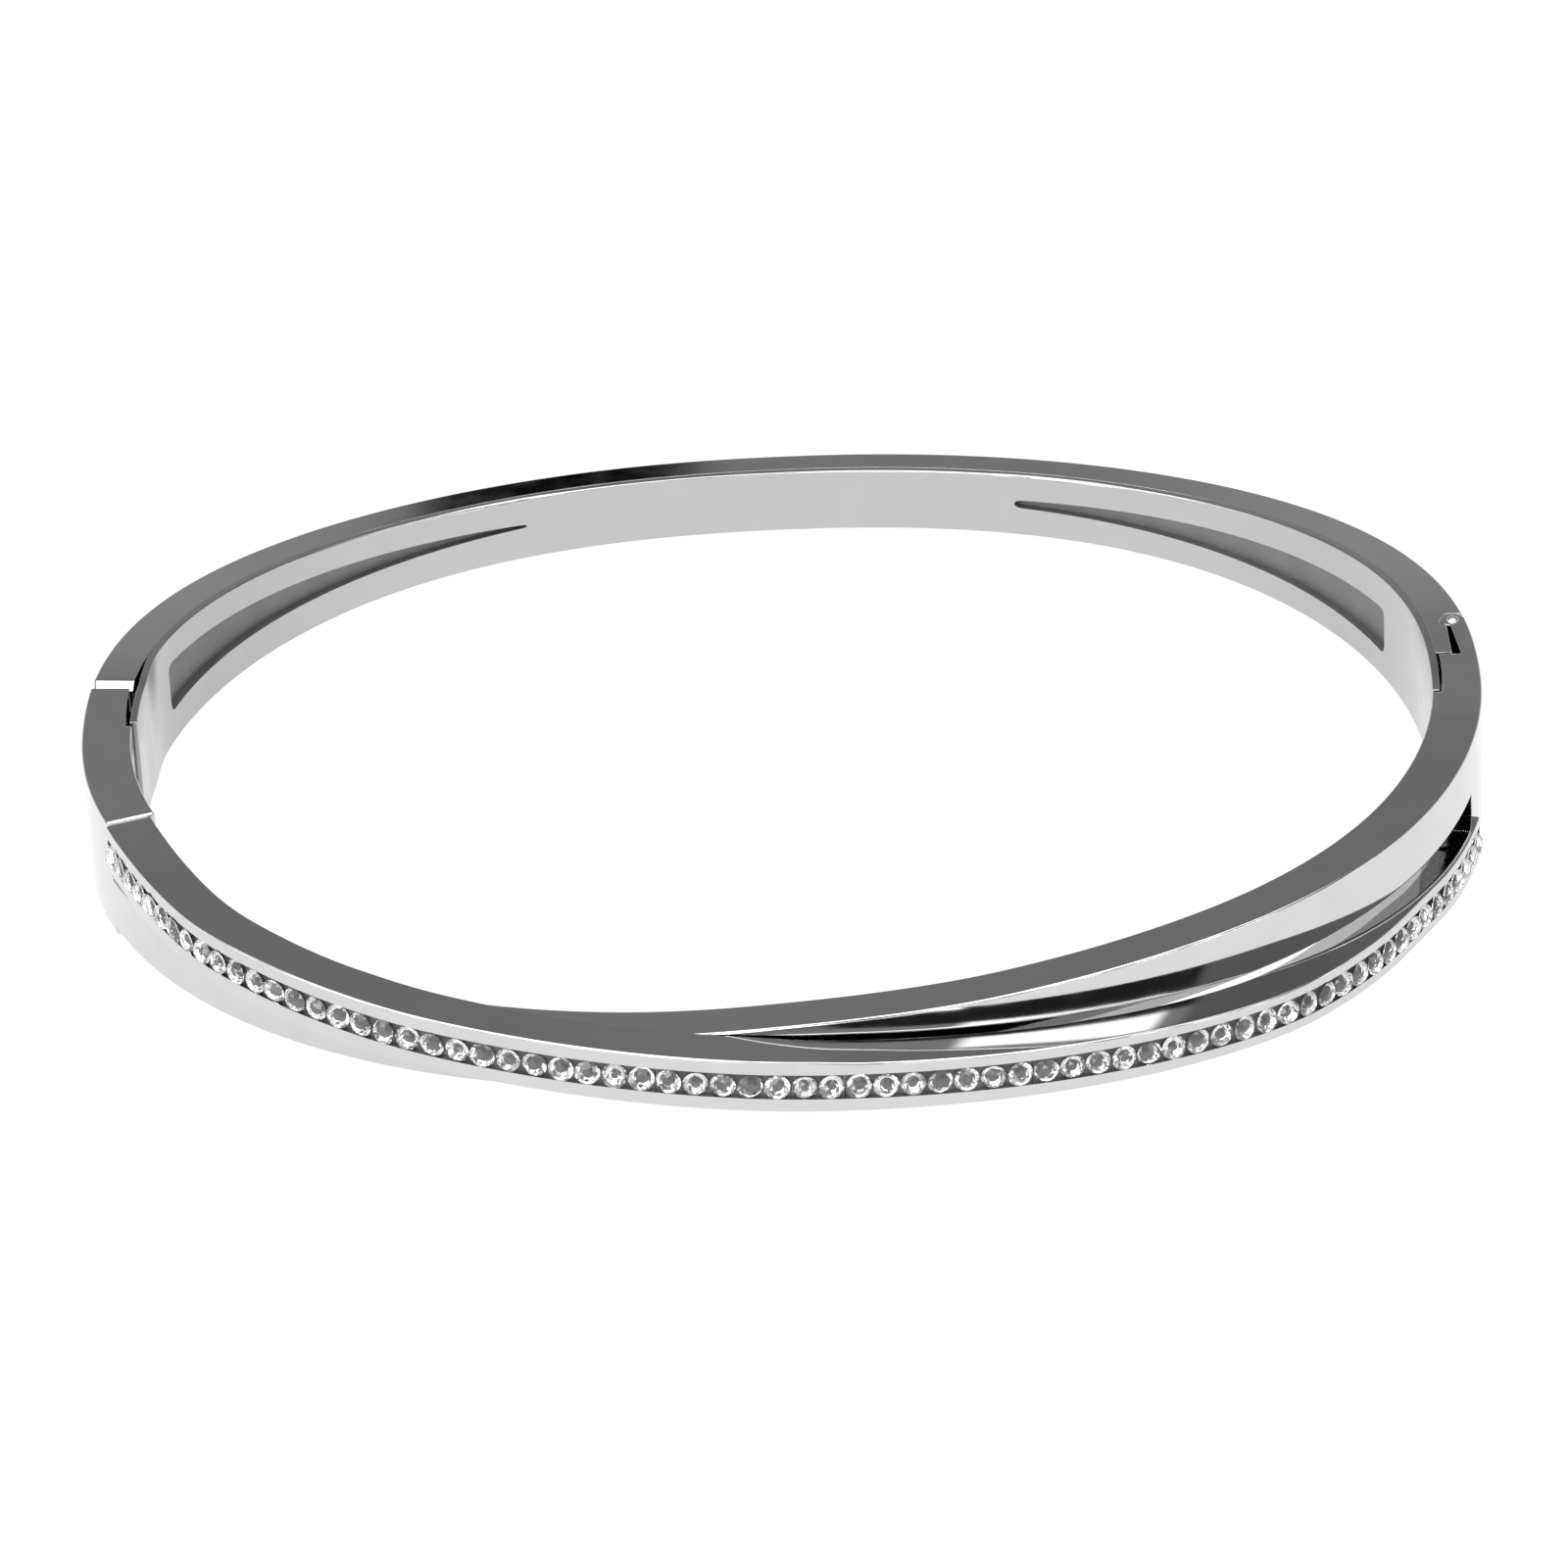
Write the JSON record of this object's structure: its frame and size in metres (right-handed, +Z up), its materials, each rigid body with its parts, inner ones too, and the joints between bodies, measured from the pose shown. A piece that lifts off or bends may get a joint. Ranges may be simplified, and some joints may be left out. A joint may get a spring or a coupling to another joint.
{
  "type": "hinged bangle bracelet",
  "caption": "Oval hinged bangle in polished metal: a plain tapered back half, and a front half whose plain strip crosses behind a channel strip set with clear round stones.",
  "frame": {"origin": "on the surface the bangle lies on, under the middle of its outline", "axes": "+X towards the hinge, -Y towards the stone-set front, +Z up along the wrist axis"},
  "size_m": [0.062, 0.0548, 0.0055],
  "materials": {
    "polished_steel": "mirror-polished stainless steel",
    "spring_steel": "satin spring strip",
    "pin_steel": "drawn wire, ends polished flush",
    "clear_stones": "faceted foil-backed clear glass in clear cement"
  },
  "bodies": {
    "back_half": {"back_shell": "polished_steel", "back_liner": "polished_steel", "clasp_tongue_base": "spring_steel", "tongue_rivet_upper": "pin_steel", "tongue_rivet_lower": "pin_steel", "hinge_pin": "pin_steel"},
    "front_half": {"front_frame": "polished_steel", "clasp_cover_plate": "polished_steel", "clasp_catch_pin": "pin_steel", "stone_channel": "polished_steel", "stone_run_01": "clear_stones", "stone_run_02": "clear_stones", "stone_run_03": "clear_stones", "stone_run_04": "clear_stones", "stone_run_05": "clear_stones", "stone_run_06": "clear_stones", "stone_run_07": "clear_stones", "stone_run_08": "clear_stones", "stone_run_09": "clear_stones", "stone_run_10": "clear_stones"},
    "clasp_leaf": {"clasp_tongue_spring": "spring_steel"}
  },
  "joints": [
    {"name": "hinge_swing", "type": "hinge", "parent": "back_half", "child": "front_half", "pos_m": [0.0302, 0.0049, 0.00275], "axis": [0, 0, 1], "range_deg": [0, 60]},
    {"name": "clasp_leaf_flex", "type": "hinge", "parent": "back_half", "child": "clasp_leaf", "pos_m": [-0.02974, -0.00199, 0.00275], "axis": [0, 0, 1], "range_deg": [-4, 0], "stiffness_Nm_per_rad": 0.01}
  ]
}
